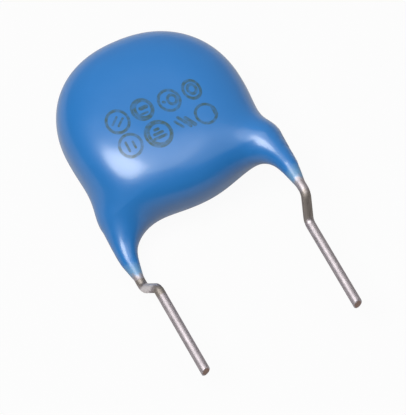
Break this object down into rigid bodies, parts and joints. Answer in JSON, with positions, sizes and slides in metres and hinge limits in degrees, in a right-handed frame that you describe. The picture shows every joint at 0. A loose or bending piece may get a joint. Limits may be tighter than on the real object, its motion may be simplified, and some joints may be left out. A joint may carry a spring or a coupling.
{
  "type": "ceramic disc capacitor",
  "caption": "Radial-leaded ceramic disc capacitor: a dip-coated disc with soldered wires whose kinks set its height and bring the pins into line for a printed board.",
  "frame": {"origin": "on the flat of the back face, halfway between the two pins and level with the centre of the disc", "axes": "+X across the pins towards the front lead, -Y along the pins, +Z from the back face to the front face"},
  "size_m": [0.012, 0.0222, 0.0053],
  "materials": {
    "coating": "glossy blue dip-coated epoxy",
    "ceramic": "matt fired ceramic",
    "silver": "fired silver, matt",
    "solder": "bright solder",
    "tinned_wire": "tinned copper wire, slightly dulled"
  },
  "bodies": {
    "root": {"coating": "coating", "ceramic_disc": "ceramic", "front_electrode": "silver", "back_electrode": "silver", "front_solder": "solder", "back_solder": "solder", "front_lead": "tinned_wire", "back_lead": "tinned_wire"}
  },
  "joints": []
}
